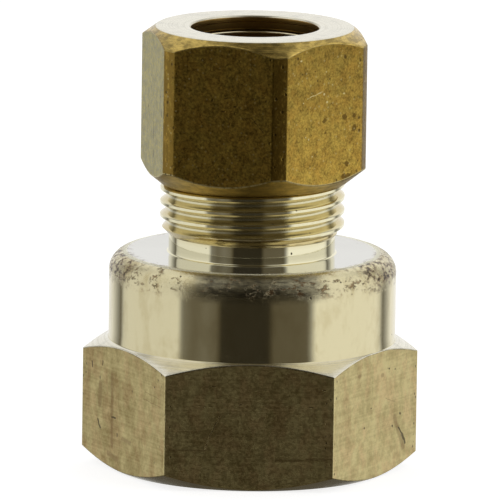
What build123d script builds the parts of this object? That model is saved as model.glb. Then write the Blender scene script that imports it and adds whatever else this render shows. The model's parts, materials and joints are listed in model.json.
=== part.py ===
from build123d import *
import os
from math import cos, radians, tan

# Compression adapter, standing on its pipe end with the axis along Z. A hexagon body carries a
# female pipe thread below and a male neck above. A hexagon nut is run part of the way onto the
# neck, and holds the ferrule that it presses onto the tube. The neck's thread is a true groove;
# inside, the nut is bored just clear of it and the pipe end has its drilled diameter.
# All lengths are in millimetres and all angles in degrees.

# Tube that the fitting takes, and the room that each piece leaves round it
tube_diameter = 9.525
socket_clearance = 0.06
ferrule_clearance = 0.04
nut_bore_clearance = 0.18

# Hexagon of the body, with one flat to the front and both rims turned to a cone
hex_across_flats = 22.5
hex_height = 10.0
hex_chamfer_angle = 30
foot_inset = 0.25

# Round shoulder above the hexagon
shoulder_inset = 0.15
shoulder_height = 6.75
shoulder_edge_radius = 1.6

# Neck: a relief, then the compression thread with a cone at each end
thread_diameter = 14.2875
thread_pitch = 25.4 / 24
thread_length = 6.65
lead_chamfer = 0.4
relief_height = 1.4
relief_depth = 0.69

# Groove of that thread, started in the relief and run out past the neck's top
groove_depth_ratio = 0.53
groove_root_ratio = 0.17
groove_half_angle = 30
groove_lift = 0.6
groove_turned_by = -45
groove_overcut = 0.1

# Waterway through the body
pipe_bore_diameter = 14.3
pipe_bore_depth = 12.3
pipe_mouth_chamfer = 1.4
drill_point_angle = 118
passage_diameter = 7.5
socket_depth = 8.5
seat_flare = 0.9
seat_half_angle = 30

# Nut
nut_across_flats = 16.0
nut_height = 12.3
nut_engagement = 3.4
nut_turned_by = -17.0
nut_corner_trim = 0.3
nut_crown_inset = 0.38
nut_crown_angle = 43
nut_rim_wall = 0.1
nut_rim_angle = 50
nut_land_height = 1.0
nut_lip_chamfer = 0.14
nut_cone_angle = 45
thread_clearance = 0.05

# Ferrule, hung just clear of the cone inside the nut
ferrule_length = 6.0
ferrule_tip_wall = 0.3
ferrule_belly_wall = 0.7
ferrule_belly_length = 2.2
ferrule_seat_gap = 0.04

# A hexagon across its corners, against its width across flats
corner_ratio = 1 / cos(radians(180 / 6))

# Radii
tube_radius = tube_diameter / 2
foot_radius = hex_across_flats / 2 - foot_inset
shoulder_radius = hex_across_flats / 2 - shoulder_inset
thread_radius = thread_diameter / 2
relief_radius = thread_radius - relief_depth
socket_radius = tube_radius + socket_clearance
seat_radius = socket_radius + seat_flare
pipe_radius = pipe_bore_diameter / 2
passage_radius = passage_diameter / 2

# Heights of the body above its foot
shoulder_top = hex_height + shoulder_height
thread_start = shoulder_top + relief_height
neck_top = thread_start + relief_depth + thread_length
socket_floor = neck_top - socket_depth
seat_floor = neck_top - seat_flare / tan(radians(seat_half_angle))
drill_rise = (pipe_radius - passage_radius) / tan(radians(drill_point_angle / 2))
drill_end = pipe_bore_depth + drill_rise

# Section and rise of the thread's groove, which opens beyond the crests
groove_depth = groove_depth_ratio * thread_pitch
groove_radius = thread_radius - groove_depth
groove_root = groove_root_ratio * thread_pitch
groove_reach = groove_depth + groove_overcut
groove_mouth = groove_root + 2 * groove_reach * tan(radians(groove_half_angle))
groove_foot = shoulder_top + groove_lift
groove_rise = neck_top - groove_foot + thread_pitch

# Cones that trim a hexagon's corners run out past them
hex_reach = hex_across_flats / 2 * corner_ratio + foot_inset
hex_slope = tan(radians(hex_chamfer_angle))

# Nut
nut_foot = neck_top - nut_engagement
nut_top = nut_foot + nut_height
nut_thread_radius = thread_radius + thread_clearance
nut_bore_radius = tube_radius + nut_bore_clearance
nut_rim_radius = nut_thread_radius + nut_rim_wall
nut_crown_radius = nut_across_flats / 2 - nut_crown_inset
nut_corner_radius = nut_across_flats / 2 * corner_ratio - nut_corner_trim
nut_rim_rise = (nut_corner_radius - nut_rim_radius) * tan(radians(nut_rim_angle))
nut_crown_drop = (nut_corner_radius - nut_crown_radius) * tan(radians(nut_crown_angle))
nut_cone_slope = tan(radians(nut_cone_angle))
nut_cone_top = nut_top - nut_land_height
nut_cone_foot = nut_cone_top - (nut_thread_radius - nut_bore_radius) * nut_cone_slope

# Ferrule
ferrule_bore_radius = tube_radius + ferrule_clearance
ferrule_tip_radius = ferrule_bore_radius + ferrule_tip_wall
ferrule_belly_radius = ferrule_bore_radius + ferrule_belly_wall
ferrule_contact = nut_cone_top - (ferrule_tip_radius - nut_bore_radius) * nut_cone_slope
ferrule_top = ferrule_contact - ferrule_seat_gap
ferrule_foot = ferrule_top - ferrule_length
ferrule_taper = (ferrule_length - ferrule_belly_length) / 2

os.makedirs("parts", exist_ok=True)

# Body, turned from one length of hexagon bar
with BuildPart() as adapter_body:
    with BuildSketch():
        RegularPolygon(hex_across_flats / 2, 6, major_radius=False)
    extrude(amount=hex_height)
    # The rims of the hexagon are turned to a cone, which leaves an arc on every flat
    with BuildSketch(Plane.XZ):
        with BuildLine():
            Polyline(
                (0, 0),
                (foot_radius, 0),
                (hex_reach, (hex_reach - foot_radius) * hex_slope),
                (hex_reach, hex_height - (hex_reach - shoulder_radius) * hex_slope),
                (shoulder_radius, hex_height),
                (0, hex_height),
                close=True,
            )
        make_face()
    revolve(axis=Axis.Z, mode=Mode.INTERSECT)
    # Shoulder, relief and thread are one turned profile, rooted halfway down the hexagon
    with BuildSketch(Plane.XZ) as stem:
        with BuildLine():
            Polyline(
                (0, hex_height / 2),
                (shoulder_radius, hex_height / 2),
                (shoulder_radius, shoulder_top),
                (relief_radius, shoulder_top),
                (relief_radius, thread_start),
                (thread_radius, thread_start + relief_depth),
                (thread_radius, neck_top - lead_chamfer),
                (thread_radius - lead_chamfer, neck_top),
                (0, neck_top),
                close=True,
            )
        make_face()
        shoulder_corners = stem.vertices().group_by(Axis.X)[-1]
        fillet(shoulder_corners.sort_by(Axis.Y)[-1], shoulder_edge_radius)
    revolve(axis=Axis.Z)
    # The thread is one groove that winds up the neck
    with BuildLine(Plane.XY.rotated((0, 0, groove_turned_by))) as winding:
        Helix(thread_pitch, groove_rise, groove_radius, center=(0, 0, groove_foot))
    groove_start = winding.line @ 0
    groove_plane = Plane(groove_start, (groove_start.X, groove_start.Y, 0), winding.line % 0)
    with BuildSketch(groove_plane):
        with BuildLine():
            Polyline(
                (0, -groove_root / 2),
                (groove_reach, -groove_mouth / 2),
                (groove_reach, groove_mouth / 2),
                (0, groove_root / 2),
                close=True,
            )
        make_face()
    sweep(path=winding.line, is_frenet=True, mode=Mode.SUBTRACT)
    # Pipe thread bore with its drill point, the passage, the tube socket and the ferrule's seat
    with BuildSketch(Plane.XZ):
        with BuildLine():
            Polyline(
                (0, 0),
                (pipe_radius + pipe_mouth_chamfer, 0),
                (pipe_radius, pipe_mouth_chamfer),
                (pipe_radius, pipe_bore_depth),
                (passage_radius, drill_end),
                (passage_radius, socket_floor),
                (socket_radius, socket_floor),
                (socket_radius, seat_floor),
                (seat_radius, neck_top),
                (0, neck_top),
                close=True,
            )
        make_face()
    revolve(axis=Axis.Z, mode=Mode.SUBTRACT)

# Nut, with its corners turned down and a steep cone at each end
with BuildPart() as compression_nut:
    with BuildSketch(Plane.XY.offset(nut_foot)):
        RegularPolygon(nut_across_flats / 2, 6, major_radius=False, rotation=nut_turned_by)
    extrude(amount=nut_height)
    with BuildSketch(Plane.XZ):
        with BuildLine():
            Polyline(
                (0, nut_foot),
                (nut_rim_radius, nut_foot),
                (nut_corner_radius, nut_foot + nut_rim_rise),
                (nut_corner_radius, nut_top - nut_crown_drop),
                (nut_crown_radius, nut_top),
                (0, nut_top),
                close=True,
            )
        make_face()
    revolve(axis=Axis.Z, mode=Mode.INTERSECT)
    # Thread bore, the cone that bears on the ferrule, and the tube hole
    with BuildSketch(Plane.XZ):
        with BuildLine():
            Polyline(
                (0, nut_foot),
                (nut_thread_radius, nut_foot),
                (nut_thread_radius, nut_cone_foot),
                (nut_bore_radius, nut_cone_top),
                (nut_bore_radius, nut_top - nut_lip_chamfer),
                (nut_bore_radius + nut_lip_chamfer, nut_top),
                (0, nut_top),
                close=True,
            )
        make_face()
    revolve(axis=Axis.Z, mode=Mode.SUBTRACT)

# Ferrule, a sleeve with a plain belly and a taper to each thin end
with BuildPart() as ferrule:
    with BuildSketch(Plane.XZ):
        with BuildLine():
            Polyline(
                (ferrule_bore_radius, ferrule_foot),
                (ferrule_tip_radius, ferrule_foot),
                (ferrule_belly_radius, ferrule_foot + ferrule_taper),
                (ferrule_belly_radius, ferrule_top - ferrule_taper),
                (ferrule_tip_radius, ferrule_top),
                (ferrule_bore_radius, ferrule_top),
                close=True,
            )
        make_face()
    revolve(axis=Axis.Z)

adapter_body.part.label = "adapter_body"
export_step(adapter_body.part, "parts/adapter_body.step")
compression_nut.part.label = "compression_nut"
export_step(compression_nut.part, "parts/compression_nut.step")
ferrule.part.label = "ferrule"
export_step(ferrule.part, "parts/ferrule.step")
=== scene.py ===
import json
import math

import bmesh
import bpy
import numpy as np
from mathutils import Matrix, Vector


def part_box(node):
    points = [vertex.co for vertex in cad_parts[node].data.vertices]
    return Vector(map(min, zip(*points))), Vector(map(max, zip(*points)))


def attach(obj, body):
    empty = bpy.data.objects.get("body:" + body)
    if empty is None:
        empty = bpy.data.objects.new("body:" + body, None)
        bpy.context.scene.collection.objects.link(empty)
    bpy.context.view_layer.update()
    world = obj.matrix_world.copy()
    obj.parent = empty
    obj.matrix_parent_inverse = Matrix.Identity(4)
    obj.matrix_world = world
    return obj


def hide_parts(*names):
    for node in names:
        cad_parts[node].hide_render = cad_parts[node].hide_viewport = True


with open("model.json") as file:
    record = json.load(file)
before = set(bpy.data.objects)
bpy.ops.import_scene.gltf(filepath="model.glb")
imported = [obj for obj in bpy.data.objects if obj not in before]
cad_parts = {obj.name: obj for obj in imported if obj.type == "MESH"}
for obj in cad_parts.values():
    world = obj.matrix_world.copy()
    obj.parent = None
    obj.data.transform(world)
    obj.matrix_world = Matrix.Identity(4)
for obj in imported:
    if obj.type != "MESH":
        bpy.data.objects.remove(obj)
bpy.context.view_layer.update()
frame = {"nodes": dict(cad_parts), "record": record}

mm = 0.001               # shapes are worked out in millimetres and written in metres
mounts = {m["name"]: m["dims"] for m in frame["record"]["mounts"]}
bodyLow, bodyHigh = (np.array(corner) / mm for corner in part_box("adapter_body"))
nutLow, nutHigh = (np.array(corner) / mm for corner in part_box("compression_nut"))
ferruleLow, ferruleHigh = (np.array(corner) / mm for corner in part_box("ferrule"))
print("frame loaded:", ", ".join(sorted(frame["nodes"])))


# Grid helpers: every piece is one closed sheet of rows (round the axis) and columns (angles)

sheet = {
    "merge": 2e-7,           # points nearer than this become one, in metres
    "sharpAngle": 32,        # an edge that turns by more degrees stays sharp
    "flatWeight": 50,        # middle of the modifier's scale
}


def columnAngles(turn, crowded, steps):
    # the same offsets about each of the six corners: even steps, plus crowded ones (degrees)
    even = np.linspace(-30, 30, steps, endpoint=False)
    offsets = np.unique(np.round(np.concatenate([even, crowded, -np.array(crowded)]), 4))
    offsets = offsets[(offsets >= -30) & (offsets < 30)]
    return np.radians(turn + (60 * np.arange(6)[:, None] + offsets).ravel())


def fromCorner(angles, turn):
    # signed angle to the nearest corner of a hexagon whose first corner is at turn (degrees)
    return (angles - math.radians(turn) + math.pi / 6) % (math.pi / 3) - math.pi / 6


def hexRadius(angles, acrossFlats, turn, cornerRound):
    # polar radius of a hexagon: half its width over the cosine of the angle from the middle of
    # the flat, and near a corner the far side of a small circle that touches both flats
    offset = fromCorner(angles, turn)
    flat = acrossFlats / 2 / np.cos(math.pi / 6 - np.abs(offset))
    centre = (acrossFlats / 2 - cornerRound) / math.cos(math.pi / 6)
    reach = math.atan2(cornerRound * 0.5, centre + cornerRound * math.cos(math.pi / 6))
    under = np.maximum(cornerRound ** 2 - (centre * np.sin(offset)) ** 2, 0)
    return np.where(np.abs(offset) < reach, centre * np.cos(offset) + np.sqrt(under), flat)


def softMin(a, b, width):
    # lower of two values, with the corner between them rounded over width
    return 0.5 * (a + b - np.sqrt((a - b) ** 2 + width ** 2))


def profileRun(corners, columns):
    # rows of a profile made of straight stretches. A corner is (radius, height, ease, arc rows,
    # rows on the stretch after it, finish of that stretch). Each corner with an ease is replaced
    # by the circular arc that leaves the stretches that far from it, as a weighted quadratic curve.
    place = np.array([[np.broadcast_to(c[0], columns), np.broadcast_to(c[1], columns)] for c in corners])
    arcs = []
    for i, corner in enumerate(corners):
        point = place[i]
        if corner[2] == 0:
            arcs.append(point[None])
            continue
        back = place[i - 1] - point
        ahead = place[i + 1] - point
        back = back / np.linalg.norm(back, axis=0)
        ahead = ahead / np.linalg.norm(ahead, axis=0)
        weight = np.sqrt(np.maximum(1 - (back * ahead).sum(0), 0) / 2)   # cosine of half the turn
        t = np.linspace(0, 1, corner[3])[:, None, None]
        first, middle, last = (1 - t) ** 2, 2 * t * (1 - t) * weight, t ** 2
        curve = first * (point + corner[2] * back) + middle * point + last * (point + corner[2] * ahead)
        arcs.append(curve / (first + middle + last))
    rows, finish = [], []
    for i, corner in enumerate(corners):
        rows.append(arcs[i])
        finish += [corner[5]] * len(arcs[i])
        if i + 1 < len(corners) and corner[4]:
            t = np.linspace(0, 1, corner[4] + 2)[1:-1, None, None]
            rows.append(arcs[i][-1] * (1 - t) + arcs[i + 1][0] * t)
            finish += [corner[5]] * corner[4]
    rows = np.concatenate(rows)
    return {"r": rows[:, 0], "z": rows[:, 1], "finish": np.array(finish), "seam": 0}


def helixRun(angles, low, high, thread, radiusAt, finish, upward):
    # rows that climb one pitch a turn, each at a fixed place on the thread's section, held between
    # low and high; across the seam a row meets the one a pitch away. radiusAt(angle, height) is the
    # thread itself, and its root passes the front (-Y) at rootHeight.
    pitch, phases = thread["pitch"], sectionRows(thread)
    rootLevel = thread["rootHeight"] + pitch * (angles[0] + math.pi / 2) / (2 * math.pi)
    first = math.floor((np.min(low) - pitch - rootLevel) / pitch)
    last = math.ceil((high - rootLevel) / pitch)
    level = (rootLevel + pitch * (np.arange(first, last + 1)[:, None] + phases)).ravel()
    z = np.clip(level[:, None] + pitch * (angles - angles[0]) / (2 * math.pi), low, high)
    seam = len(phases)
    if not upward:
        z = z[::-1]
        seam = -len(phases)
    return {"r": radiusAt(angles, z), "z": z, "finish": np.full(len(z), finish), "seam": seam}


def sectionRows(thread):
    # places on one pitch, from the middle of the root: two rows at each corner, one on each flank
    root, crest, ease = thread["root"] / 2, 0.5 - thread["crest"] / 2, thread["cornerEase"]
    rise = [0.0, root - ease, root + ease, (root + crest) / 2, crest - ease, crest + ease]
    return np.array(rise + [0.5] + [1 - place for place in reversed(rise[1:])])


def threadShare(angles, z, thread):
    # section of the thread, 0 in the root and 1 on the crest, with straight flanks between
    phase = (z - thread["rootHeight"]) / thread["pitch"] - (angles + math.pi / 2) / (2 * math.pi)
    away = np.abs(phase - np.round(phase))
    root, crest = thread["root"] / 2, 0.5 - thread["crest"] / 2
    return np.clip((away - root) / (crest - root), 0, 1)


def sheetPiece(name, angles, runs, finishes):
    # stacks the rows of all runs into one sheet, closed round the axis and from the last row to
    # the first; held rows fall on each other and are merged
    r = np.concatenate([part["r"] for part in runs])
    z = np.concatenate([part["z"] for part in runs])
    finish = np.concatenate([part["finish"] for part in runs])
    rows, columns = r.shape
    seamRow, start = [], 0
    for part in runs:
        count = len(part["r"])
        seamRow.append(start + np.clip(np.arange(count) + part["seam"], 0, count - 1))
        start += count
    seamRow = np.concatenate(seamRow)
    points = np.stack([r * np.cos(angles), r * np.sin(angles), z], axis=-1).reshape(-1, 3) * mm
    here = np.arange(rows * columns).reshape(rows, columns)
    right = np.concatenate([here[:, 1:], here[seamRow, :1]], axis=1)
    above, rightAbove = np.roll(here, -1, axis=0), np.roll(right, -1, axis=0)
    faces = np.stack([here, right, rightAbove, above], axis=-1).reshape(-1, 4)
    mesh = bpy.data.meshes.new(name)
    mesh.from_pydata(points.tolist(), [], faces.tolist())
    mesh.polygons.foreach_set("material_index", np.repeat(finish, columns).astype(np.int32))
    work = bmesh.new()
    work.from_mesh(mesh)
    bmesh.ops.remove_doubles(work, verts=work.verts, dist=sheet["merge"])
    work.to_mesh(mesh)
    work.free()
    mesh.validate()
    mesh.shade_smooth()
    mesh.set_sharp_from_angle(angle=math.radians(sheet["sharpAngle"]))
    for material in finishes:
        mesh.materials.append(material)
    piece = bpy.data.objects.new(name, mesh)
    bpy.context.scene.collection.objects.link(piece)
    even = piece.modifiers.new("evenNormals", "WEIGHTED_NORMAL")   # keeps the flats flat beside round edges
    even.weight = sheet["flatWeight"]
    even.keep_sharp = True
    print(name, "has", len(mesh.vertices), "points and", len(mesh.polygons), "faces")
    return piece


def pointAttribute(piece, name, formula):
    # a number for each point, worked out from the points' places in millimetres
    place = np.empty(len(piece.data.vertices) * 3)
    piece.data.vertices.foreach_get("co", place)
    value = formula(*(place.reshape(-1, 3) / mm).T)
    piece.data.attributes.new(name, "FLOAT", "POINT").data.foreach_set("value", value.astype(np.float32))


def smoothStep(value, low, high):
    # rises from 0 at low to 1 at high along a cubic curve
    t = np.clip((value - low) / (high - low), 0, 1)
    return t * t * (3 - 2 * t)


# Node helpers

current = {}             # current["tree"] is the node tree that put and link fill


def newFinish(name):
    # a metal, whose nodes come next
    material = bpy.data.materials.new(name)
    material.use_nodes = True
    current["tree"] = material.node_tree
    shader = material.node_tree.nodes["Principled BSDF"]
    shader.inputs["Metallic"].default_value = 1.0
    return material, shader


def link(value, socket):
    current["tree"].links.new(value, socket)


def put(kind, sockets, **settings):
    # one node: its settings, then each socket either linked or given a value; returns the node
    node = current["tree"].nodes.new("ShaderNode" + kind)
    for key, value in settings.items():
        setattr(node, key, value)
    for key, value in sockets.items():
        if isinstance(value, bpy.types.NodeSocket):
            link(value, node.inputs[key])
        else:
            node.inputs[key].default_value = value
    return node


def reckon(operation, a, b=0.0, c=0.0):
    return put("Math", {0: a, 1: b, 2: c}, operation=operation).outputs[0]


def times(a, b):
    return reckon("MULTIPLY", a, b)


def timesPlus(a, b, c):
    return reckon("MULTIPLY_ADD", a, b, c)


def minus(a, b):
    return reckon("SUBTRACT", a, b)


def higher(first, *others):
    # highest of all the values
    for value in others:
        first = reckon("MAXIMUM", first, value)
    return first


def ramp(value, low, high, outLow=0.0, outHigh=1.0):
    # smooth step of a value between low and high
    sockets = {"Value": value, "From Min": low, "From Max": high, "To Min": outLow, "To Max": outHigh}
    return put("MapRange", sockets, interpolation_type="SMOOTHSTEP").outputs[0]


def opaque(colour):
    return (*colour, 1.0)


def blendColour(share, a, b, mode="MIX"):
    # from a to b by a share; each is a socket or a plain (red, green, blue)
    a, b = (opaque(colour) if isinstance(colour, tuple) else colour for colour in (a, b))
    sockets = {0: share, 6: a, 7: b}
    return put("Mix", sockets, data_type="RGBA", blend_type=mode).outputs[2]


def stretched(place, x, y, z):
    return put("VectorMath", {0: place, 1: (x, y, z)}, operation="MULTIPLY").outputs[0]


def noise(place, scale, detail=2.0, rough=0.5):
    sockets = {"Vector": place, "Scale": scale, "Detail": detail, "Roughness": rough}
    return put("TexNoise", sockets).outputs["Fac"]


def spots(place, scale, radius, share):
    # round specks: near the middle of a cell, in the given share of the cells
    cell = put("TexVoronoi", {"Vector": place, "Scale": scale}, feature="F1")
    near = ramp(cell.outputs["Distance"], radius, radius * 0.4)
    chosen = put("SeparateColor", {0: cell.outputs["Color"]}).outputs[0]
    return times(near, reckon("LESS_THAN", chosen, share))


def millimetres():
    # object coordinates in millimetres
    place = put("TexCoord", {}).outputs["Object"]
    return put("VectorMath", {0: place, "Scale": 1 / mm}, operation="SCALE").outputs[0]


def axisDistance(place):
    flat = stretched(place, 1, 1, 0)
    return put("VectorMath", {0: flat}, operation="LENGTH").outputs["Value"]


def attributes(*names):
    # values that the piece holds for each of its points
    return [put("Attribute", {}, attribute_name=name).outputs["Fac"] for name in names]


def linkFinish(shader, colour, gloss, height, strength, depth):
    # colour, roughness and a bump whose full height is depth millimetres
    bump = put("Bump", {"Height": height, "Strength": strength, "Distance": depth * mm})
    link(colour, shader.inputs["Base Color"])
    link(gloss, shader.inputs["Roughness"])
    link(bump.outputs[0], shader.inputs["Normal"])


def roughened(place, scale, reach):
    # the place pushed about by noise, so that marks waver
    push = put("TexNoise", {"Vector": place, "Scale": scale, "Detail": 3.0}).outputs["Color"]
    moved = put("VectorMath", {0: push, 1: (reach,) * 3, 2: place}, operation="MULTIPLY_ADD").outputs[0]
    return put("VectorMath", {0: moved, 1: (reach / 2,) * 3}, operation="SUBTRACT").outputs[0]


def strokes(place, half, marks):
    # 1 along each mark: near a straight stroke on a flat that is half away from the axis. For the flat's
    # azimuth from the front, marks gives both ends (across, up, across, up) and half the width of each
    found = 0.0
    flats = [(math.radians(azimuth), mark) for azimuth, group in marks.items() for mark in group]
    for turn, (*ends, width) in flats:
        first, last = (Vector((half * math.sin(turn) + across * math.cos(turn),
                               across * math.sin(turn) - half * math.cos(turn), up))
                       for across, up in (ends[:2], ends[2:]))
        length = max((last - first).length, 0.001)           # a mark may be a single point
        run = (last - first) / length
        offset = put("VectorMath", {0: place, 1: first}, operation="SUBTRACT").outputs[0]
        along = put("VectorMath", {0: offset, 1: run}, operation="DOT_PRODUCT").outputs["Value"]
        held = put("Clamp", {0: along, 1: 0.0, 2: length}).outputs[0]
        moved = put("VectorMath", {0: run, "Scale": held}, operation="SCALE").outputs[0]
        nearest = put("VectorMath", {0: moved, 1: first}, operation="ADD").outputs[0]
        away = put("VectorMath", {0: place, 1: nearest}, operation="DISTANCE").outputs["Value"]
        found = higher(found, ramp(away, width, width * 0.35))
    return found


# Finishes

bodyFinish = {
    "neck": (0.84, 0.79, 0.54),          # turned and polished
    "relief": (0.84, 0.79, 0.55),
    "flankShade": (0.61, 0.49, 0.22),         # painted reflection and shade on the upper flanks of the thread
    "shoulder": (0.72, 0.65, 0.41),
    "faced": (0.65, 0.64, 0.59),         # top face of the shoulder
    "faceHighlight": (0.93, 0.91, 0.76),      # painted highlight: a bright line round it, on a rough burr
    "stain": (0.50, 0.41, 0.20),
    "brown": (0.20, 0.105, 0.038),
    "cone": (0.80, 0.76, 0.62),
    "inside": (0.50, 0.40, 0.18),
    "barLight": (0.72, 0.62, 0.305),     # drawn surface of the hexagon bar
    "barDark": (0.33, 0.25, 0.09),
    "barTint": (1.0, 0.90, 0.92),
    "worn": (0.80, 0.70, 0.36),          # burnished corners
    "pit": (0.06, 0.045, 0.022),
    "grime": (0.15, 0.135, 0.09),        # dirt in the worn edge
}
# marks on the body, grouped by the azimuth of their flat: both ends (across, up), then half the width
bodyNicks = {
    0: [(-2.25, 5.9, -2.7, 5.05, 0.06), (-2.7, 5.05, -3.15, 4.05, 0.05),
        (-3.15, 4.05, -3.35, 3.3, 0.05), (-2.9, 8.2, -2.6, 8.2, 0.06), (-0.8, 6.8, -0.6, 6.85, 0.07),
        (4.5, 6.7, 4.9, 6.7, 0.05), (-4.2, 6.7, -2.8, 6.6, 0.04), (5.6, 8.1, 5.8, 8.0, 0.06)],
    -60: [(-5.0, 8.1, -4.9, 7.7, 0.12), (-3.3, 8.4, -3.3, 8.1, 0.10), (-3.7, 7.1, -3.7, 7.0, 0.11),
          (-3.95, 3.7, -3.6, 3.1, 0.13), (-1.8, 4.3, -1.2, 4.3, 0.09), (-0.9, 3.1, -0.9, 2.9, 0.10),
          (5.05, 9.25, 5.1, 9.2, 0.08), (5.9, 9.0, 6.0, 8.9, 0.08), (5.4, 8.5, 5.5, 8.4, 0.07),
          (4.8, 7.85, 4.9, 7.8, 0.07), (6.45, 6.0, 6.5, 5.4, 0.07), (6.4, 4.4, 6.5, 3.2, 0.06)],
    60: [(3.6, 3.5, 4.25, 2.85, 0.10), (4.25, 2.85, 4.7, 2.1, 0.18), (3.85, 4.55, 3.9, 4.5, 0.14),
         (2.6, 3.75, 2.7, 3.7, 0.12), (-1.8, 4.3, -1.7, 4.3, 0.10), (2.0, 8.35, 2.05, 8.35, 0.09),
         (2.95, 8.2, 3.0, 8.2, 0.08), (-0.75, 5.7, -0.7, 5.7, 0.08)],
    120: [(-3.0, 6.5, -2.2, 5.2, 0.09), (2.4, 3.1, 2.5, 3.0, 0.12), (1.2, 8.0, 3.4, 7.6, 0.05)],
    180: [(-4.0, 3.4, -1.2, 4.6, 0.06), (3.0, 7.2, 3.1, 7.1, 0.12), (4.6, 2.6, 5.2, 3.4, 0.07)],
    -120: [(-2.0, 7.4, -1.5, 5.8, 0.08), (3.2, 4.0, 3.3, 3.9, 0.13), (-4.4, 2.6, -3.0, 2.5, 0.06)],
}
bodySmudges = {
    0: [(-6.1, 3.2, -3.4, 3.2, 0.10), (-5.4, 4.65, -3.9, 4.65, 0.09), (2.1, 2.5, 4.1, 2.5, 0.14),
        (4.4, 2.6, 6.4, 2.65, 0.12)],
    -60: [(-0.1, 2.85, 1.15, 2.75, 0.24), (-2.3, 1.35, -0.9, 1.1, 0.30), (-1.8, 7.6, -1.7, 2.1, 0.30),
          (-3.6, 6.6, -3.7, 5.0, 0.40), (3.2, 6.6, 5.9, 6.4, 0.06), (3.4, 7.2, 6.0, 7.0, 0.05)],
    60: [(-2.7, 8.5, -2.5, 8.5, 0.24), (0.9, 8.0, 1.1, 8.0, 0.22), (1.6, 6.1, 3.2, 5.55, 0.05),
         (3.0, 4.4, 4.4, 1.8, 0.35)],
    120: [(-1.5, 7.8, -1.6, 2.6, 0.32)],
    180: [(2.2, 2.4, 4.8, 2.5, 0.14)],
    -120: [(1.4, 7.7, 1.3, 3.0, 0.30)],
}
neckPits = {
    28.4: [(0, 21.15, 0, 21.1, 0.07), (0, 19.57, 0, 19.5, 0.08)],
    27.6: [(0, 19.34, 0, 19.3, 0.06)],
}
reliefPits = {
    28.3: [(0, 17.65, 0, 17.6, 0.09)],
    -33.0: [(0, 17.9, 0, 17.9, 0.05)],
    150: [(0, 17.5, 0, 17.5, 0.08)],
}
nutFinish = {
    "green": (0.37, 0.255, 0.049),       # two hues of the drawn bar
    "brown": (0.345, 0.212, 0.038),
    "dark": (0.10, 0.056, 0.011),        # smudges
    "corner": (0.21, 0.132, 0.024),      # turned-down corners
    "pale": (0.37, 0.32, 0.095),         # the one flat with little tarnish
    # light specks, and the colour of the painted glints
    "speckAndGlint": (0.66, 0.56, 0.27),
    "pit": (0.05, 0.030, 0.010),
    "turned": (0.50, 0.360, 0.100),
    "rim": (0.53, 0.375, 0.090),
    "faced": (0.75, 0.71, 0.57),
    "inside": (0.32, 0.20, 0.055),
}
nutPits = {
    43: [(2.05, 32.9, 2.05, 32.85, 0.22), (-2.45, 31.9, -2.4, 31.9, 0.10),
         (0.5, 31.3, 0.5, 31.25, 0.10), (-0.85, 31.3, -0.8, 31.3, 0.09),
         (-1.1, 32.0, -1.1, 32.0, 0.09)],
    -77: [(0.55, 27.2, 0.6, 25.9, 0.09), (3.3, 28.6, 3.35, 28.1, 0.10), (0.7, 25.0, 0.7, 24.45, 0.10),
          (-1.3, 28.2, -1.3, 28.1, 0.12)],
    -17: [(0.1, 30.0, 0.3, 30.0, 0.08), (0.9, 29.4, 1.1, 29.4, 0.07), (-0.1, 29.05, 0.1, 29.0, 0.08),
          (2.3, 28.65, 3.25, 27.55, 0.05)],
    103: [(-1.0, 30.2, 0.6, 29.0, 0.07)],
    163: [(1.6, 27.0, 1.7, 26.9, 0.20)],
    -137: [(-1.4, 31.0, -1.3, 30.2, 0.10), (2.0, 26.2, 2.1, 26.1, 0.18)],
}
nutSmudges = {
    43: [(2.1, 28.2, 2.1, 28.15, 0.30), (3.1, 28.2, 3.1, 28.2, 0.26), (3.1, 27.2, 3.1, 27.15, 0.32),
         (-0.05, 28.1, -0.05, 28.0, 0.24), (0.05, 27.1, 0.05, 27.1, 0.14),
         (2.4, 24.5, 2.4, 24.5, 0.28), (2.05, 23.5, 2.65, 23.5, 0.24)],
    163: [(-1.2, 29.4, -1.1, 28.6, 0.34)],
    103: [(1.5, 26.4, 1.5, 26.3, 0.30)],
}
# painted highlights: glints on the nut's flats, by the azimuth of each flat: both ends (across, up), then
# half the width
nutPaintedGlints = {
    43: [(-1.9, 30.0, -0.25, 30.35, 0.05), (2.0, 30.0, 2.05, 30.0, 0.10),
         (0.2, 29.5, 0.25, 29.5, 0.10), (-0.1, 30.2, -0.1, 30.15, 0.10),
         (-2.3, 29.7, -2.25, 29.7, 0.09), (-1.7, 26.8, -1.7, 26.75, 0.10),
         (-2.6, 33.0, -2.55, 33.0, 0.10)],
    -137: [(0.4, 28.6, 1.9, 29.3, 0.05)],
    163: [(0.2, 31.4, 0.25, 31.4, 0.10)],
}
# the bore's dark colour is painted shade inside the ferrule
ferruleFinish = {"bright": (0.86, 0.78, 0.54), "bore": (0.26, 0.15, 0.05)}


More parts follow.
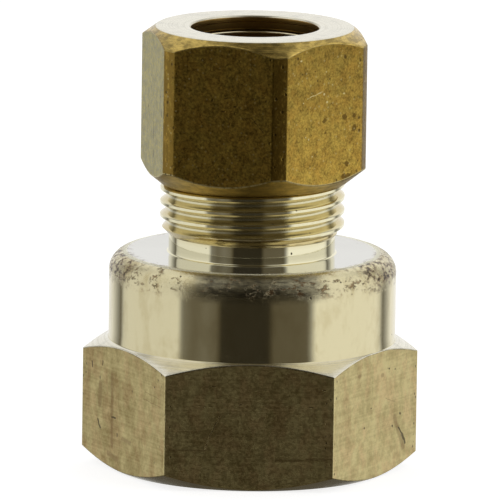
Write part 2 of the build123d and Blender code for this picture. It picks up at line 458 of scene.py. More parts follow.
def shoulderBrass():
    # polished side and faced top of the shoulder, with the battered rounded edge between them: stains,
    # brown flakes, dark nicks at the sides, grey dirt at the front, and a painted highlight as a bright
    # line round the face
    material, shader = newFinish("shoulderBrass")
    place = millimetres()
    wear, front, sides, face = attributes("edgeWear", "edgeGrime", "edgeNicks", "topFace")
    stains = ramp(noise(stretched(place, 1.0, 1.0, 0.5), 0.55, 5.0, 0.65), 0.46, 0.66)
    fine = noise(place, 3.4, 4.0, 0.65)
    scuffs = noise(stretched(place, 0.8, 0.8, 3.0), 1.5, 5.0, 0.7)
    share = times(stains, timesPlus(wear, 0.30, 0.32))
    colour = blendColour(share, bodyFinish["shoulder"], bodyFinish["stain"])
    colour = blendColour(face, colour, bodyFinish["faced"])
    soiled = times(front, ramp(scuffs, 0.72, 0.34, 0.45, 1.0))
    colour = blendColour(soiled, colour, bodyFinish["grime"])
    patches = ramp(noise(place, 0.75, 3.0, 0.6), 0.46, 0.60)
    flakes = ramp(noise(stretched(place, 1.0, 1.0, 1.8), 1.5, 6.0, 0.75), 0.52, 0.59)
    flakes = times(times(flakes, patches), wear)
    colour = blendColour(times(flakes, 0.75), colour, bodyFinish["brown"])
    clumps = ramp(noise(place, 0.9, 3.0, 0.6), 0.38, 0.50, 0.2, 1.0)
    clumps = times(clumps, sides)
    gouges = noise(stretched(place, 1.0, 1.0, 1.6), 1.7, 5.0, 0.7)
    around = times(clumps, ramp(gouges, 0.43, 0.55))
    colour = blendColour(times(around, 0.8), colour, bodyFinish["brown"])
    nicks = times(clumps, ramp(gouges, 0.52, 0.60))
    specks = times(spots(place, 1.1, 0.11, 0.10), ramp(face, 0.9, 0.5, 0.5, 1.0))
    edgeSpecks = times(wear, spots(place, 2.2, 0.20, 0.16))
    marks = higher(specks, edgeSpecks, nicks)
    colour = blendColour(times(marks, 0.95), colour, bodyFinish["pit"])
    # painted highlight: a near-white, rough line round the top face
    off = reckon("ABSOLUTE", minus(axisDistance(place), bodyShape["faceHighlight"]))
    top = bodyShape["shoulderTop"]
    high = ramp(put("SeparateXYZ", {0: place}).outputs["Z"], top - 0.30, top - 0.20)   # near the face
    line = times(high, ramp(off, 0.24, 0.10))
    colour = blendColour(line, colour, bodyFinish["faceHighlight"])
    shader.inputs["Metallic"].default_value = 0.968        # a thin dull film over the metal
    lines = noise(stretched(place, 0.4, 0.4, 9.0), 1.0, 2.0)
    gloss = timesPlus(wear, 0.16, ramp(lines, 0.3, 0.7, 0.05, 0.09))
    gloss = timesPlus(stains, 0.06, gloss)
    gloss = timesPlus(soiled, 0.12, gloss)
    gloss = put("Mix", {0: face, 2: gloss, 3: 0.055}).outputs[0]
    gloss = timesPlus(line, 0.45, gloss)
    height = minus(times(scuffs, 0.6), times(fine, 0.4))
    height = times(wear, minus(height, times(flakes, 0.6)))
    height = minus(height, marks)
    height = timesPlus(lines, 0.015, height)
    linkFinish(shader, colour, gloss, height, 0.8, 0.05)
    return material


def neckBrass():
    # mirror-bright relief below, then the thread: upper flanks in darker gold as painted reflection and
    # shade, duller crests and roots with painted shade in the roots, small pits
    material, shader = newFinish("neckBrass")
    place = millimetres()
    upper, root, thread = attributes("upperFlank", "threadRoot", "onThread")
    cloud = ramp(noise(place, 0.9, 4.0, 0.65), 0.48, 0.70)
    mottle = ramp(noise(place, 3.0, 4.0, 0.7), 0.42, 0.66)
    colour = blendColour(thread, bodyFinish["relief"], bodyFinish["neck"])
    # painted reflection and shade: the upward flanks and the run-out cone take a darker gold
    colour = blendColour(times(upper, 0.85), colour, bodyFinish["flankShade"])
    dull = timesPlus(mottle, 0.10, times(cloud, 0.14))
    colour = blendColour(times(thread, dull), colour, bodyFinish["stain"])
    # painted shade in the thread's roots, in the pit colour
    colour = blendColour(times(root, 0.12), colour, bodyFinish["pit"])
    specks = times(spots(place, 1.3, 0.12, 0.14), thread)
    marks = higher(strokes(place, neckThread["outer"], neckPits),
                   strokes(place, bodyShape["relief"], reliefPits), specks)
    colour = blendColour(marks, colour, bodyFinish["pit"])
    link(timesPlus(thread, -0.03, 1.0), shader.inputs["Metallic"])
    lines = noise(stretched(place, 0.3, 0.3, 12.0), 1.0, 2.0)
    gloss = timesPlus(thread, 0.03, ramp(lines, 0.3, 0.7, 0.03, 0.06))
    gloss = timesPlus(root, 0.15, gloss)
    height = minus(times(lines, 0.03), marks)
    height = timesPlus(times(thread, mottle), 0.10, height)
    linkFinish(shader, colour, gloss, height, 0.5, 0.02)
    return material


def bodyBar():
    # drawn hexagon bar: each flat's lightness, which is its tarnish and painted light and shade, streaks
    # along it, fine lines across it, patches of two hues, scratches and smudges, a dark line under the
    # upper rim and burnished corners
    material, shader = newFinish("bodyBar")
    place = millimetres()
    tone, corner, arc = attributes("flatShadeAndTone", "cornerWear", "arcLine")
    wavy = roughened(place, 2.2, 0.22)
    half = bodyShape["flats"] / 2
    grain = ramp(noise(place, 4.5, 3.0, 0.65), 0.32, 0.68)
    lines = ramp(noise(stretched(place, 0.10, 0.10, 5.5), 1.0, 2.0), 0.3, 0.7)
    # each flat's own lightness: its tarnish and the painted light and shade of that face
    share = tone
    streaks = ramp(noise(stretched(place, 1.1, 1.1, 0.18), 1.0, 4.0, 0.6), 0.35, 0.65)
    patches = ramp(noise(place, 0.50, 4.0, 0.65), 0.35, 0.65)
    mottle = ramp(noise(place, 1.7, 4.0, 0.65), 0.36, 0.64)
    for weight, layer in ((0.16, streaks), (0.32, patches), (0.26, mottle), (0.26, grain), (0.20, lines)):
        share = reckon("ADD", share, timesPlus(layer, weight, -weight / 2))
    share = put("Clamp", {0: share}).outputs[0]
    colour = blendColour(share, bodyFinish["barDark"], bodyFinish["barLight"])
    hue = ramp(noise(stretched(place, 1.0, 1.0, 0.6), 0.7, 4.0, 0.65), 0.44, 0.62)
    colour = blendColour(times(hue, 0.8), colour, bodyFinish["barTint"], "MULTIPLY")
    smudges = times(strokes(wavy, half, bodySmudges), 0.42)
    colour = blendColour(smudges, colour, bodyFinish["brown"])
    pits = spots(stretched(place, 1.0, 1.0, 0.6), 1.1, 0.11, 0.16)
    beside = times(ramp(corner, 0.04, 0.16),
                   spots(stretched(place, 1.0, 1.0, 0.7), 2.6, 0.26, 0.45))
    marks = higher(pits, beside, strokes(wavy, half, bodyNicks))
    underRim = times(ramp(arc, 0.25, 0.85), ramp(noise(place, 1.3, 3.0), 0.35, 0.6))
    shade = higher(times(marks, 0.8), times(underRim, 0.75))
    colour = blendColour(shade, colour, bodyFinish["pit"])
    burnish = times(ramp(corner, 0.60, 0.97), ramp(grain, 0.0, 0.6, 0.35, 0.9))
    colour = blendColour(burnish, colour, bodyFinish["worn"])
    gloss = ramp(grain, 0.0, 1.0, 0.40, 0.50)
    height = minus(times(lines, 0.25), marks)
    height = timesPlus(grain, 0.20, height)
    linkFinish(shader, colour, gloss, height, 0.6, 0.03)
    return material


def nutBar():
    # tarnished drawn bar of the nut: each flat's lightness, which is its tarnish and painted light and
    # shade, coarse grain in green gold and brown, pits, dark smudges, light specks and edges with painted
    # glints among them, and darker, plainer turned-down corners
    material, shader = newFinish("nutBar")
    place = millimetres()
    corner, near, tone = attributes("cornerBand", "nearCorner", "flatShadeAndTone")
    clean, arc = attributes("cleanFlat", "arcLine")
    wavy = roughened(place, 2.5, 0.25)
    ragged = roughened(place, 4.0, 0.5)
    half = nutShape["flats"] / 2
    hue = ramp(noise(place, 1.1, 4.0, 0.65), 0.30, 0.70)
    grain = ramp(noise(place, 5.0, 4.0, 0.7), 0.34, 0.68)
    blots = ramp(noise(place, 1.4, 4.0, 0.65), 0.36, 0.64)
    along = noise(stretched(place, 1.0, 1.0, 0.45), 3.0, 4.0, 0.65)
    colour = blendColour(hue, nutFinish["green"], nutFinish["brown"])
    clean = times(clean, minus(1.0, corner))
    colour = blendColour(clean, colour, nutFinish["pale"])
    level = timesPlus(grain, 0.75, timesPlus(blots, -0.34, 0.78))
    # each flat's lightness and slope: its tarnish and the painted light and shade of that face
    colour = blendColour(1.0, colour, times(level, tone), "MULTIPLY")
    banded = times(corner, ramp(along, 0.30, 0.55))
    colour = blendColour(banded, colour, nutFinish["corner"])
    smudges = ramp(strokes(ragged, half, nutSmudges), 0.04, 0.6)
    colour = blendColour(times(smudges, 0.8), colour, nutFinish["dark"])
    stipple = times(spots(place, 3.0, 0.34, 0.26), 0.26)
    # painted highlights: glints as strokes and scattered spots, in the light speck colour
    paintedGlints = higher(strokes(wavy, half, nutPaintedGlints), spots(place, 2.0, 0.16, 0.08))
    edge = times(ramp(arc, 0.25, 0.75), ramp(along, 0.32, 0.54, 0.3, 1.0))
    specks = higher(times(paintedGlints, 0.8), stipple, edge)
    colour = blendColour(specks, colour, nutFinish["speckAndGlint"])
    pits = spots(stretched(place, 1.0, 1.0, 0.75), 1.25, 0.15, 0.20)
    small = times(spots(place, 2.7, 0.22, 0.20), 0.6)
    crowd = times(near, spots(stretched(place, 1.0, 1.0, 0.8), 1.9, 0.26, 0.50))
    marks = higher(pits, crowd, small, strokes(wavy, half, nutPits))
    colour = blendColour(times(marks, 0.75), colour, nutFinish["pit"])
    gloss = ramp(grain, 0.0, 1.0, 0.30, 0.46)
    height = minus(times(grain, 0.20), marks)
    linkFinish(shader, colour, gloss, height, 0.6, 0.03)
    return material


def turnedBrass(name, tone, roughLow, roughHigh, depth=0.012, uneven=0.0):
    # turned faces and cones: fine rings round the axis, and light and dark patches where it is uneven
    material, shader = newFinish(name)
    place = millimetres()
    ringScale = 8.0          # on each millimetre outwards or upwards
    across = times(axisDistance(place), ringScale)
    along = times(put("SeparateXYZ", {0: place}).outputs["Z"], ringScale)
    rings = noise(put("CombineXYZ", {0: across, 1: along}).outputs[0], 1.0, 2.0)
    cloud = ramp(noise(place, 0.7, 4.0, 0.6), 0.45, 0.75, 0.0, 0.6)
    darker = tuple(0.68 * value for value in tone)
    share = timesPlus(ramp(rings, 0.45, 0.7), 0.3, cloud)
    colour = blendColour(share, tone, darker)
    if uneven:
        patches = noise(stretched(place, 1.0, 1.0, 2.5), 1.1, 5.0, 0.68)
        level = ramp(patches, 0.36, 0.64, 1 - uneven, 1 + uneven)
        colour = blendColour(1.0, colour, level, "MULTIPLY")
    gloss = ramp(rings, 0.3, 0.7, roughLow, roughHigh)
    linkFinish(shader, colour, gloss, rings, 0.5, depth)
    return material


# Body: hexagon, shoulder, threaded neck and waterway

bodyShape = {
    "flats": bodyHigh[1] - bodyLow[1],
    "cornerRound": 0.12,
    "hexTop": 10.0,
    "topSlope": math.tan(math.radians(28)),
    "footSlope": math.tan(math.radians(30)),
    "topShift": 0.14,                    # the turned rims and the shoulder lie this far off the
    "footShift": 0.08,                   # hexagon's middle, towards +X
    "shoulderShift": 0.10,
    "footInset": 0.30,
    "shoulderInset": 0.12,
    "shoulderTop": 16.75,
    "shoulderRound": 1.5,
    "faceHighlight": 9.82,                    # burr round the top face, with a painted highlight line along it
    "relief": 6.45375,
    "reliefRound": 0.13,
    "edgeEase": 0.05,
    "leastArc": 0.08,                    # least width of a turned rim, seen from above
    "arcReach": 0.2,                     # strip of a flat beside its arcs
    "columns": 42,                       # even columns on each sixth
    "flatShadesAndTones": (0.55, 0.48, 0.60, 0.46, 0.69, 0.78),   # how light each flat is, from 30 degrees round: its tarnish and the painted light and shade of that face
}
shoulderWear = {
    # each pair is where a wear begins and where it is full
    "edgeOut": (9.3, 9.8),               # the worn edge, by its distance from the axis and its height
    "edgeUp": (14.7, 15.6),
    "dirtFoot": (14.5, 15.3),            # dirt on the lower part of it
    "dirtTop": (16.80, 16.5),
    "frontDirt": (3, (32, 20)),          # its patches: an azimuth, and degrees away from that
    "backDirt": (125, (40, 15)),
    "battered": (-78, 72, 155, -150),    # azimuths of the nicked stretches
    "nicks": (24, 12),
    "faceOut": (10.15, 9.55),            # the faced top
}
neckThread = {
    "outer": 14.2875 / 2,
    "pitch": 25.4 / 24,
    "depth": 0.53 * 25.4 / 24,
    "start": 18.15,                      # end of the plain relief
    "leadChamfer": 0.4,
    "rootHeight": 19.334,                # a root passes the front here
    "crest": 0.218,                      # flat shares of the pitch
    "root": 0.17,
    "cornerEase": 0.018,
}
waterway = {
    "seatRadius": 5.7225,
    "seatFloor": 23.931,
    "socketRadius": mounts["tube_socket"]["r_mm"],
    "socketFloor": 16.99,
    "passageRadius": 3.75,
    "passageFoot": 14.343,
    "pipeTop": 12.3,
    "pipeRadius": mounts["pipe_socket"]["r_mm"],
    "pipeTaper": 1 / 32,
    "mouthRadius": 8.55,
}
pipeThread = {
    "pitch": 25.4 / 18,
    "depth": 1.0,
    "runOut": 3.2,
    "rootHeight": 1.0,
    "crest": 0.12,
    "root": 0.10,
    "cornerEase": 0.02,
}


def fromFront(x, y):
    # azimuth in degrees, 0 at the front and plus towards +X
    return np.degrees(np.arctan2(x, -y))


def flatNumber(x, y, turn):
    # number of the flat that a point is on, counted from the corner at turn (degrees)
    return np.floor((np.degrees(np.arctan2(y, x)) - turn) % 360 / 60).astype(int)


def neckRadius(angles, z):
    # right-handed thread between its root and its outer radius
    t = neckThread
    return t["outer"] - t["depth"] * (1 - threadShare(angles, z, t))


def neckSurface(angles, z):
    # a cone at each end trims the thread, down to the relief below and to the lead above
    t = neckThread
    runOut = bodyShape["relief"] + (z - t["start"])
    lead = t["outer"] - t["leadChamfer"] + (bodyHigh[2] - z)
    return np.minimum(neckRadius(angles, z), np.minimum(runOut, lead))


def pipeSurface(angles, z):
    # tapered inside thread that fades out at its deep end, widened at the mouth by a cone
    w, t = waterway, pipeThread
    crest = w["pipeRadius"] + (w["pipeTop"] - z) * w["pipeTaper"]
    fade = smoothStep(w["pipeTop"] - z, 0.0, t["runOut"])
    return np.maximum(crest + t["depth"] * fade * (1 - threadShare(angles, z, t)), w["mouthRadius"] - z)


def makeBody():
    s, t, w, worn = bodyShape, neckThread, waterway, shoulderWear
    angles = columnAngles(0, [0.09, 0.18, 0.27, 0.45, 0.9], s["columns"])
    n = len(angles)
    side = hexRadius(angles, s["flats"], 0, s["cornerRound"])
    ease = s["edgeEase"]
    flats, plain, neck, cone, inside = range(5)
    # a circle that lies off the axis: its radius plus the shift's share towards each angle
    foot = s["flats"] / 2 - s["footInset"] + s["footShift"] * np.cos(angles)
    rim = s["flats"] / 2 - s["shoulderInset"] + s["topShift"] * np.cos(angles)
    shoulder = s["flats"] / 2 - s["shoulderInset"] + s["shoulderShift"] * np.cos(angles)
    footArc = np.maximum(side - foot, s["leastArc"]) * s["footSlope"]
    topArc = s["hexTop"] - np.maximum(side - rim, s["leastArc"]) * s["topSlope"]
    outer = profileRun([
        (pipeSurface(angles, np.zeros(n)), 0.0, 0, 1, 2, cone),
        (foot, 0.0, ease, 4, 1, cone),
        (side, footArc, ease, 5, 1, flats),
        (side, footArc + s["arcReach"], 0, 1, 6, flats),
        (side, topArc - s["arcReach"], 0, 1, 1, flats),
        (side, topArc, ease, 5, 2, cone),
        (shoulder, s["hexTop"], ease, 4, 6, plain),
        (shoulder, s["shoulderTop"], s["shoulderRound"], 17, 6, plain),
        (s["relief"], s["shoulderTop"], s["reliefRound"], 6, 3, neck),
        (s["relief"], t["start"], 0, 1, 0, neck),
    ], n)
    thread = helixRun(angles, t["start"], bodyHigh[2], t, neckSurface, neck, True)
    inner = profileRun([
        (neckSurface(angles, np.full(n, bodyHigh[2])), bodyHigh[2], 0, 1, 1, cone),
        (w["seatRadius"], bodyHigh[2], ease, 4, 1, inside),
        (w["socketRadius"], w["seatFloor"], ease, 4, 4, inside),
        (w["socketRadius"], w["socketFloor"], 0, 1, 1, inside),
        (w["passageRadius"], w["socketFloor"], ease, 4, 2, inside),
        (w["passageRadius"], w["passageFoot"], ease, 4, 2, inside),
        (w["pipeRadius"], w["pipeTop"], 0, 1, 0, inside),
    ], n)
    pipe = helixRun(angles, 0.0, w["pipeTop"], pipeThread, pipeSurface, inside, False)
    finishes = [bodyBar(), shoulderBrass(), neckBrass(),
                turnedBrass("bodyCone", bodyFinish["cone"], 0.14, 0.28),
                turnedBrass("bodyInside", bodyFinish["inside"], 0.2, 0.35)]
    piece = sheetPiece("adapterBody", angles, [outer, thread, inner, pipe], finishes)

    def edgeWear(x, y, z):
        # 1 on the rounded edge of the shoulder, fading into its side and its top
        reach = np.hypot(x, y)
        edge = smoothStep(reach, *worn["edgeOut"]) * smoothStep(z, *worn["edgeUp"])
        return edge * (reach < s["flats"] / 2)

    def edgeGrime(x, y, z):
        # dirt on the lower part of that edge: a long patch at the front and others round the back
        angle = fromFront(x, y)
        (middle, reach), (behind, farReach) = worn["frontDirt"], worn["backDirt"]
        front = smoothStep(np.abs(angle - middle), *reach)
        back = smoothStep(np.abs(np.abs(angle) - behind), *farReach)
        lower = smoothStep(z, *worn["dirtTop"]) * smoothStep(z, *worn["dirtFoot"])
        return np.maximum(front, back) * lower * (np.hypot(x, y) < s["flats"] / 2)

    def edgeNicks(x, y, z):
        # battered stretches of that edge, by their azimuths
        away = np.min([np.abs(fromFront(x, y) - middle) for middle in worn["battered"]], axis=0)
        return smoothStep(away, *worn["nicks"]) * edgeWear(x, y, z)

    def topFace(x, y, z):
        # 1 on the faced top, fading over the start of the rounded edge
        level = (z > s["shoulderTop"] - 0.4) & (z < s["shoulderTop"] + 0.01)
        return smoothStep(np.hypot(x, y), *worn["faceOut"]) * level

    def threadPhase(x, y, z):
        # place on the pitch, 0 in the middle of the root, from -0.5 to 0.5 upwards
        phase = (z - t["rootHeight"]) / t["pitch"] - (np.arctan2(y, x) + math.pi / 2) / (2 * math.pi)
        return phase - np.round(phase)

    def onThread(x, y, z):
        # 0 on the plain relief, 1 from the run-out cone upwards
        return smoothStep(z, t["start"] - 0.05, t["start"] + 0.1)

    def upperFlank(x, y, z):
        # 1 on the flanks that face upwards, below each root, and on the run-out cone, which is 0.7 high; it
        # carries the painted reflection and shade of these faces
        phase = -threadPhase(x, y, z)
        crest = 0.5 - t["crest"] / 2
        flankShade = smoothStep(phase, 0.05, 0.11) * smoothStep(phase, crest + 0.01, crest - 0.05)
        return np.where(z > t["start"] + 0.7, flankShade, onThread(x, y, z))

    def threadRoot(x, y, z):
        # 1 in the root, from where the run-out cone leaves one; it carries the painted shade in the roots
        return smoothStep(np.abs(threadPhase(x, y, z)), 0.13, 0.07) * (z > t["start"] + 0.5)

    def flatShadeAndTone(x, y, z):
        # one lightness for each flat: its tarnish and the painted light and shade of that face
        return np.array(s["flatShadesAndTones"])[flatNumber(x, y, 0)]

    def cornerWear(x, y, z):
        # 1 on the hexagon's upright corners, falling off within a millimetre
        offset = fromCorner(np.arctan2(y, x), 0) * np.hypot(x, y)
        return np.exp(-np.abs(offset) / 0.25)

    def arcLine(x, y, z):
        # 1 on the edge between a flat and its upper rim, falling to 0 within a strip of the flat
        away = np.abs(z - np.interp(np.arctan2(y, x), angles, topArc, period=2 * math.pi))
        return np.maximum(1 - away / s["arcReach"], 0)

    for formula in (edgeWear, edgeGrime, edgeNicks, topFace, onThread, upperFlank, threadRoot, flatShadeAndTone,
                    cornerWear, arcLine):
        pointAttribute(piece, formula.__name__, formula)
    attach(piece, "adapter_body")
    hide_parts("adapter_body")
    return piece


# Nut

nutShape = {
    "flats": 16.06,
    "turn": -17.0,
    "cornerRadius": 8.955,
    "rimFoot": nutLow[2] + 0.06,
    "rimRadius": 7.1,
    "rimSlope": math.tan(math.radians(38.5)),
    "rimShift": (-0.05, 0.20),           # the lower cone is turned a little off the axis
    "crownRadius": 7.62,
    "crownSlope": math.tan(math.radians(36.5)),
    "boreRadius": 4.9425,
    "lip": 0.14,
    "land": 1.0,
    "threadRadius": 7.19375,
    "threadGap": 0.05,
    "toothReach": 6.62,                  # the nut's thread stops short of the neck's roots
    "threadSlope": 0.8,                  # of the cone that opens its deep end
    "rimWall": 0.05,                     # metal left at the lower edge
    "footSearch": (0.5, 126),            # how far up a crest is looked for there, and at how many heights
    "edgeEase": 0.07,
    "rimEase": 0.02,
    "lipEase": 0.04,
    "landEase": 0.03,
    "cornerRound": 0.01,
    "bandEase": 0.02,                    # where a flat meets a turned-down corner
    "arcReach": 0.16,                    # strip of a flat beside its arcs
    "columns": 40,
    "flatShadesAndTones": (1.0, 0.9, 1.05, 1.10, 0.82, 1.02),     # how light each flat is, from the first corner: its tarnish and the painted light and shade of that face
    "flatShadeSlopes": (0.01, -0.02, 0.0, 0.0, 0.0, -0.04),   # and how that changes with each millimetre up, painted shade as well
    "cleanFlat": 3,                      # number of the flat with little tarnish
}


def nutRim(angles):
    # lower end of the cone: a circle that lies off the axis
    s = nutShape
    return s["rimRadius"] + s["rimShift"][0] * np.cos(angles) + s["rimShift"][1] * np.sin(angles)


def nutThread(angles, z):
    # the neck's own helix a little wider, cut off on the crests, opened by a cone at its deep end and
    # kept inside the cone of the lower rim
    s = nutShape
    coneFoot = nutHigh[2] - s["land"] - (s["threadRadius"] - s["boreRadius"])
    wall = np.clip(neckRadius(angles, z) + s["threadGap"], s["toothReach"], s["threadRadius"])
    deep = s["threadRadius"] - (coneFoot - z) * s["threadSlope"]
    skin = nutRim(angles) - s["rimWall"] + (z - s["rimFoot"]) / s["rimSlope"]
    return np.minimum(np.maximum(wall, deep), skin)


def nutFoot(angles):
    # lower edge: the end of the cone, cut back to above any crest of the neck that would come through it
    s = nutShape
    rise = np.linspace(0, *s["footSearch"])[:, None]
    skin = nutRim(angles) - s["rimWall"] + rise / s["rimSlope"]
    room = skin - neckRadius(angles, s["rimFoot"] + rise) - s["threadGap"]
    return s["rimFoot"] + ((rise + rise[1]) * (room < 0)).max(axis=0)


def makeNut():
    s = nutShape
    low, high = s["rimFoot"], nutHigh[2]
    strip = 30 - math.degrees(math.acos(s["flats"] / 2 / s["cornerRadius"]))   # half angle of a corner band
    angles = columnAngles(s["turn"], strip + np.array([-0.5, -0.25, 0.0, 0.25, 0.5]), s["columns"])
    n = len(angles)
    hexagon = hexRadius(angles, s["flats"], s["turn"], s["cornerRound"])
    side = softMin(hexagon, s["cornerRadius"], s["bandEase"])
    ease = s["edgeEase"]
    landFoot = high - s["land"]
    coneFoot = landFoot - (s["threadRadius"] - s["boreRadius"])
    rim, foot = nutRim(angles), nutFoot(angles)
    flats, turned, faced, inside, rimFace = range(5)
    footArc = low + (side - rim) * s["rimSlope"]
    topArc = high - (side - s["crownRadius"]) * s["crownSlope"]
    outer = profileRun([
        (nutThread(angles, foot), foot, 0, 1, 0, rimFace),
        (rim + (foot - low) / s["rimSlope"], foot, s["rimEase"], 4, 2, rimFace),
        (side, footArc, ease, 5, 1, flats),
        (side, footArc + s["arcReach"], 0, 1, 6, flats),
        (side, topArc - s["arcReach"], 0, 1, 1, flats),
        (side, topArc, ease, 5, 2, turned),
        (s["crownRadius"], high, ease, 5, 3, faced),
        (s["boreRadius"] + s["lip"], high, s["lipEase"], 4, 1, faced),
        (s["boreRadius"], high - s["lip"], s["lipEase"], 4, 2, inside),
        (s["boreRadius"], landFoot, s["landEase"], 4, 2, inside),
        (s["threadRadius"], coneFoot, 0, 1, 0, inside),
    ], n)
    thread = helixRun(angles, foot, coneFoot, neckThread, nutThread, inside, False)
    finishes = [nutBar(), turnedBrass("nutTurned", nutFinish["turned"], 0.2, 0.36, 0.012, 0.38),
                turnedBrass("nutFaced", nutFinish["faced"], 0.14, 0.26, 0.006),
                turnedBrass("nutInside", nutFinish["inside"], 0.25, 0.4),
                turnedBrass("nutRim", nutFinish["rim"], 0.34, 0.48, 0.012, 0.18)]
    piece = sheetPiece("compressionNut", angles, [outer, thread], finishes)

    def offCorner(x, y):
        # degrees from the nearest corner
        return np.degrees(np.abs(fromCorner(np.arctan2(y, x), s["turn"])))

    def cornerBand(x, y, z):
        # 1 on the turned-down corners
        return smoothStep(offCorner(x, y), strip + 0.3, strip - 0.3)

    def nearCorner(x, y, z):
        # 1 on the flats just beside the corners
        return smoothStep(offCorner(x, y), strip + 6, strip + 2)

    def flatShadeAndTone(x, y, z):
        # one lightness for each flat, with a slope up it: its tarnish and the painted light and shade of
        # that face
        flat = flatNumber(x, y, s["turn"])
        return np.array(s["flatShadesAndTones"])[flat] + np.array(s["flatShadeSlopes"])[flat] * (z - (low + high) / 2)

    def cleanFlat(x, y, z):
        # 1 on the one flat with little tarnish
        return (flatNumber(x, y, s["turn"]) == s["cleanFlat"]).astype(float)

    def arcLine(x, y, z):
        # 1 on the edges between a flat and the cones, falling to 0 within a strip of the flat
        angle = np.arctan2(y, x)
        arcs = (np.interp(angle, angles, edge, period=2 * math.pi) for edge in (footArc, topArc))
        return np.max([1 - np.abs(z - edge) / s["arcReach"] for edge in arcs], axis=0).clip(0)

    for formula in (cornerBand, nearCorner, flatShadeAndTone, cleanFlat, arcLine):
        pointAttribute(piece, formula.__name__, formula)
    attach(piece, "compression_nut")
    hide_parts("compression_nut")
    return piece


# Ferrule

ferruleShape = {
    "bore": 4.8025,
    "tip": 5.1025,
    "bellyLength": 2.2,
    "bellyRound": 0.06,
    "tipRound": 0.08,
    "brightLip": 0.18,                   # upper part of the bore that keeps the bright finish, above the painted shade
    "shadedBoreRows": (2.0, 1.0),              # two rows in the painted shade of the bore, above the foot
    "columns": 24,
}


def makeFerrule():
    s = ferruleShape
    low, high = ferruleLow[2], ferruleHigh[2]
    belly = ferruleHigh[0]
    taper = (high - low - s["bellyLength"]) / 2
    angles = columnAngles(0, [0.0], s["columns"])
    sleeve = profileRun([
        (s["bore"], low + s["shadedBoreRows"][1], 0, 1, 0, 1),
        (s["bore"], low, s["tipRound"], 5, 1, 0),
        (s["tip"], low, s["tipRound"], 5, 3, 0),
        (belly, low + taper, s["bellyRound"], 5, 3, 0),
        (belly, high - taper, s["bellyRound"], 5, 3, 0),
        (s["tip"], high, s["tipRound"], 5, 1, 0),
        (s["bore"], high, s["tipRound"], 5, 1, 0),
        (s["bore"], high - s["brightLip"], 0, 1, 4, 1),
        (s["bore"], low + s["shadedBoreRows"][0], 0, 1, 0, 1),
    ], len(angles))
    # below its lip the bore takes the dark finish, painted shade inside the ferrule
    piece = sheetPiece("ferruleSleeve", angles, [sleeve],
                       [turnedBrass("ferruleBright", ferruleFinish["bright"], 0.12, 0.22),
                        turnedBrass("ferruleBoreShade", ferruleFinish["bore"], 0.25, 0.4)])
    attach(piece, "ferrule")
    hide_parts("ferrule")
    return piece


# Studio: white surround, a bright panel on either side, and a dark gap where the camera stands

studio = {
    # azimuth from the camera's side, plus towards +X, and the brightness seen there
    "round": [(-180, 1.0), (-152, 0.88), (-138, 0.37), (-131, 0.14), (-126, 0.74), (-118, 0.84),
              (-62, 0.86), (-57, 0.22), (-48, 0.15), (-38, 0.19), (-29, 0.15), (-24, 0.031),
              (13, 0.028), (18, 0.12), (45, 0.13), (48, 0.30), (53, 1.0), (118, 1.0),
              (124, 0.85), (130, 0.17), (138, 0.48), (148, 1.0), (180, 1.0)],
    "warmDark": (1.0, 0.86, 0.60),       # tint of the dark parts, from the first brightness to the second
    "warmBelow": (0.3, 0.05),
    "overheadFrom": (0.45, 0.9),         # the walls turn into the overhead at these heights of the ray
    "overheadDim": 0.12,                 # dark between the panels, bright towards them and the back
    "overheadSides": (0.14, 0.46),
    "overheadBack": (0.2, 0.55),
    "underneath": 0.09,
    "underneathFrom": (-0.3, -0.6),
    "floorGlow": 0.80,
    "floorWhite": 0.5,
    "floorHalf": 3.0,                    # metres
    "floorDrop": 0.01,                   # millimetres, just clear of the foot's face
}


def stops(value, table):
    # a grey ramp through the table of places (0 to 1) and levels
    node = put("ValToRGB", {0: value})
    band = node.color_ramp
    band.interpolation = "LINEAR"
    while len(band.elements) < len(table):
        band.elements.new(0.5)
    for element, (place, level) in zip(band.elements, table):
        element.position = place
        element.color = (level, level, level, 1.0)
    return node.outputs["Color"]


def makeWorld():
    world = bpy.data.worlds.new("studio")
    bpy.context.scene.world = world
    world.use_nodes = True
    world.node_tree.nodes.clear()
    current["tree"] = world.node_tree
    ray = put("TexCoord", {}).outputs["Generated"]
    x, y, z = put("SeparateXYZ", {0: ray}).outputs
    azimuth = reckon("ARCTAN2", x, times(y, -1.0))
    turnShare = timesPlus(azimuth, 1 / (2 * math.pi), 0.5)
    walls = stops(turnShare, [((a + 180) / 360, level) for a, level in studio["round"]])
    sides = ramp(reckon("ABSOLUTE", x), *studio["overheadSides"])
    back = ramp(y, *studio["overheadBack"])
    overhead = ramp(higher(sides, back), 0.0, 1.0, studio["overheadDim"], 1.0)
    light = blendColour(ramp(z, *studio["overheadFrom"]), walls, overhead)
    dim = (studio["underneath"],) * 3
    light = blendColour(ramp(z, *studio["underneathFrom"]), light, dim)
    grey = put("RGBToBW", {0: light}).outputs[0]
    white = (1.0, 1.0, 1.0)
    tint = blendColour(ramp(grey, *studio["warmBelow"]), white, studio["warmDark"])
    light = blendColour(1.0, light, tint, "MULTIPLY")
    seen = put("LightPath", {}).outputs["Is Camera Ray"]
    colour = blendColour(seen, light, white)           # the camera itself sees white
    background = put("Background", {"Color": colour, "Strength": 1.0})
    put("OutputWorld", {"Surface": background.outputs[0]})


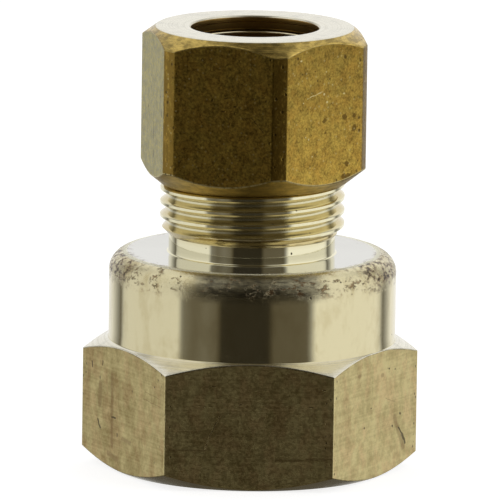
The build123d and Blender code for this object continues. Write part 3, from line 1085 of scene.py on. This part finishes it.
def makeFloor():
    half, drop = studio["floorHalf"], -studio["floorDrop"] * mm
    mesh = bpy.data.meshes.new("floor")
    corners = [(-half, -half, drop), (half, -half, drop), (half, half, drop), (-half, half, drop)]
    mesh.from_pydata(corners, [], [(0, 1, 2, 3)])
    floor = bpy.data.objects.new("floor", mesh)
    bpy.context.scene.collection.objects.link(floor)
    material = bpy.data.materials.new("whiteFloor")
    material.use_nodes = True
    material.node_tree.nodes.clear()
    current["tree"] = material.node_tree
    matte = put("BsdfDiffuse", {"Color": opaque((studio["floorWhite"],) * 3)}).outputs[0]
    seen = put("LightPath", {}).outputs["Is Camera Ray"]
    glow = put("Emission", {"Strength": times(seen, studio["floorGlow"])}).outputs[0]
    both = put("AddShader", {0: matte, 1: glow}).outputs[0]
    put("OutputMaterial", {"Surface": both})
    mesh.materials.append(material)
    floor.visible_glossy = False         # metal shows the studio, not the table's edge


view = {
    "distance": 900.0,
    "elevation": 10.6,
    "roll": 0.83,                        # the picture leans by this much
    "pixelsPerMm": 12.91,
    "imageWidth": 500,
    "aimHeight": 16.805,
    "aimSide": -0.13,
    "sensor": 36.0,
    "clipEnd": 20.0,                     # metres
}


def makeCamera():
    data = bpy.data.cameras.new("camera")
    data.sensor_width = view["sensor"]
    data.lens = view["pixelsPerMm"] * view["distance"] * view["sensor"] / view["imageWidth"]
    data.clip_end = view["clipEnd"]
    camera = bpy.data.objects.new("camera", data)
    lift = math.radians(view["elevation"])
    back = Vector((0, -math.cos(lift), math.sin(lift)))
    aim = Vector((view["aimSide"], 0, view["aimHeight"]))
    turn = Matrix.Rotation(math.pi / 2 - lift, 4, "X") @ Matrix.Rotation(math.radians(view["roll"]), 4, "Z")
    camera.matrix_world = Matrix.Translation((aim + back * view["distance"]) * mm) @ turn
    bpy.context.scene.collection.objects.link(camera)
    bpy.context.scene.camera = camera


makeBody()
makeNut()
makeFerrule()
makeWorld()
makeFloor()
makeCamera()
bpy.context.scene.view_settings.view_transform = "Standard"
print("pieces, studio and camera made")
